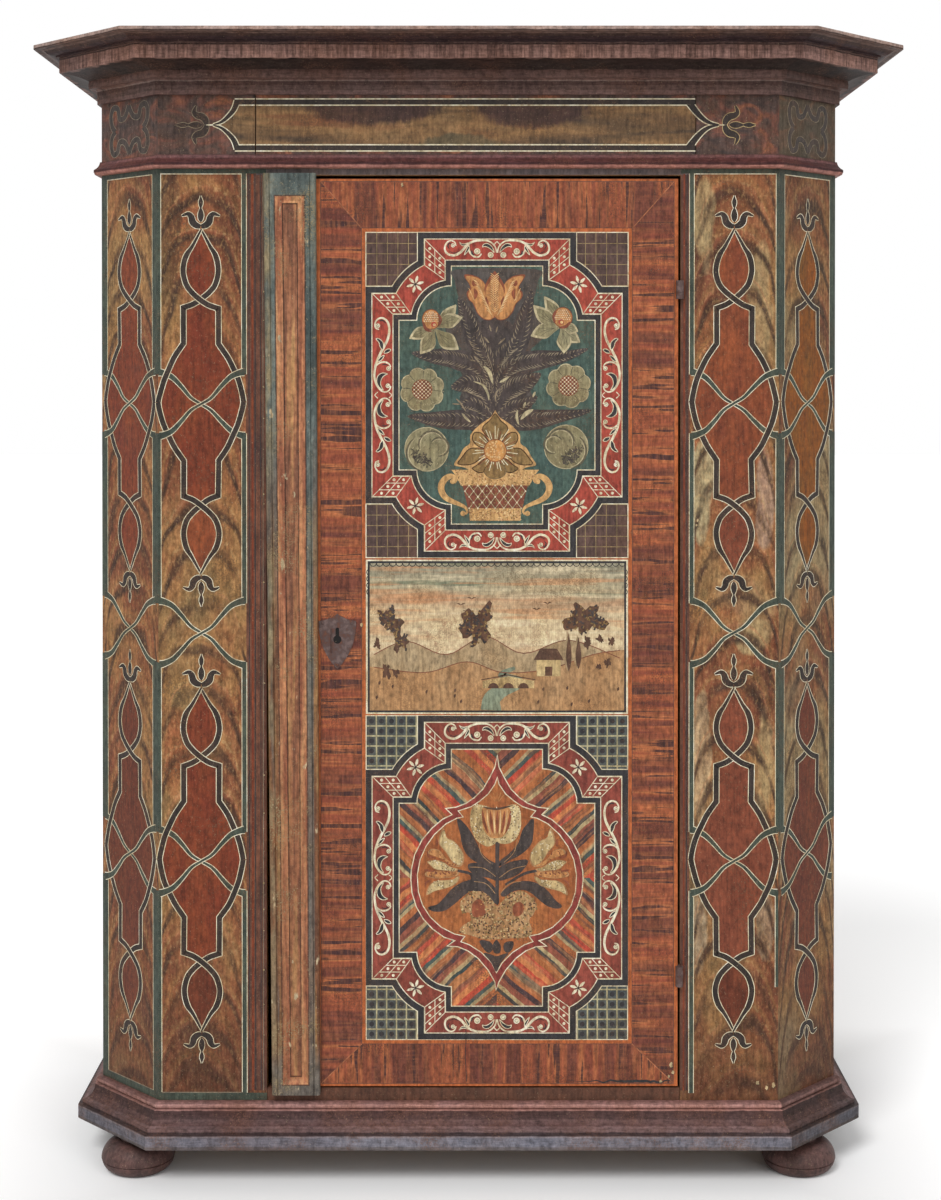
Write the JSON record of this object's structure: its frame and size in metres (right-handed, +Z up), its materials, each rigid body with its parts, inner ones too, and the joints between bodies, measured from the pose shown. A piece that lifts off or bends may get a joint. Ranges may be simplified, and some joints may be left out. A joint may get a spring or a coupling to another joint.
{
  "type": "painted wardrobe",
  "caption": "Free-standing painted wardrobe with canted front corners, stepped cornice, bun feet, a locking hinged door, a hat shelf and a peg rail.",
  "frame": {"origin": "on the floor, in the middle of the overall width and depth", "axes": "+Z up, the door faces -Y, +X to the right seen from the front"},
  "size_m": [1.476, 0.607, 1.9],
  "materials": {
    "cornice_paint": "aged oil paint, dark red-brown",
    "base_paint": "aged oil paint, mauve-brown and slate blue",
    "foot_paint": "aged paint, dull red-brown",
    "panel_paint": "marbled and painted with strapwork",
    "side_paint": "aged paint, plain red-brown",
    "door_paint": "painted mock inlay with flower panels",
    "bare_softwood": "bare aged spruce",
    "wrought_iron": "forged iron, darkened"
  },
  "bodies": {
    "case": {"foot_front_left": "foot_paint", "foot_front_right": "foot_paint", "foot_rear_left": "foot_paint", "foot_rear_right": "foot_paint", "base_front": "base_paint", "base_cant_left": "base_paint", "base_cant_right": "base_paint", "base_side_left": "base_paint", "base_side_right": "base_paint", "base_back": "bare_softwood", "stile_left": "panel_paint", "stile_right": "panel_paint", "cant_board_left": "panel_paint", "cant_board_right": "panel_paint", "side_board_left": "side_paint", "side_board_right": "side_paint", "frieze_rail": "panel_paint", "bottom_rail": "panel_paint", "back_boards": "bare_softwood", "floor_board": "bare_softwood", "top_board": "bare_softwood", "string_front": "cornice_paint", "string_cant_left": "cornice_paint", "string_cant_right": "cornice_paint", "string_side_left": "cornice_paint", "string_side_right": "cornice_paint", "bed_front": "cornice_paint", "bed_cant_left": "cornice_paint", "bed_cant_right": "cornice_paint", "bed_side_left": "cornice_paint", "bed_side_right": "cornice_paint", "crown_front": "cornice_paint", "crown_cant_left": "cornice_paint", "crown_cant_right": "cornice_paint", "crown_side_left": "cornice_paint", "crown_side_right": "cornice_paint", "hat_shelf": "bare_softwood", "shelf_cleats": "bare_softwood", "peg_rail": "bare_softwood", "pegs": "bare_softwood", "hinge_pintle_upper": "wrought_iron", "hinge_pintle_lower": "wrought_iron", "lock_keep": "wrought_iron"},
    "door": {"door_board_left": "door_paint", "door_board_right": "door_paint", "door_batten_top": "bare_softwood", "door_batten_bottom": "bare_softwood", "closing_strip": "door_paint", "escutcheon": "wrought_iron", "escutcheon_nails": "wrought_iron", "lock_case": "wrought_iron", "hinge_loop_upper": "wrought_iron", "hinge_loop_lower": "wrought_iron"},
    "bolt": {"lock_bolt": "wrought_iron"}
  },
  "joints": [
    {"name": "door_hinge", "type": "hinge", "parent": "case", "child": "door", "pos_m": [0.3505, -0.2045, 0.9], "axis": [0, 0, 1], "range_deg": [0, 165]},
    {"name": "lock_bolt_slide", "type": "slide", "parent": "door", "child": "bolt", "axis": [-1, 0, 0], "range_m": [0, 0.022]}
  ]
}
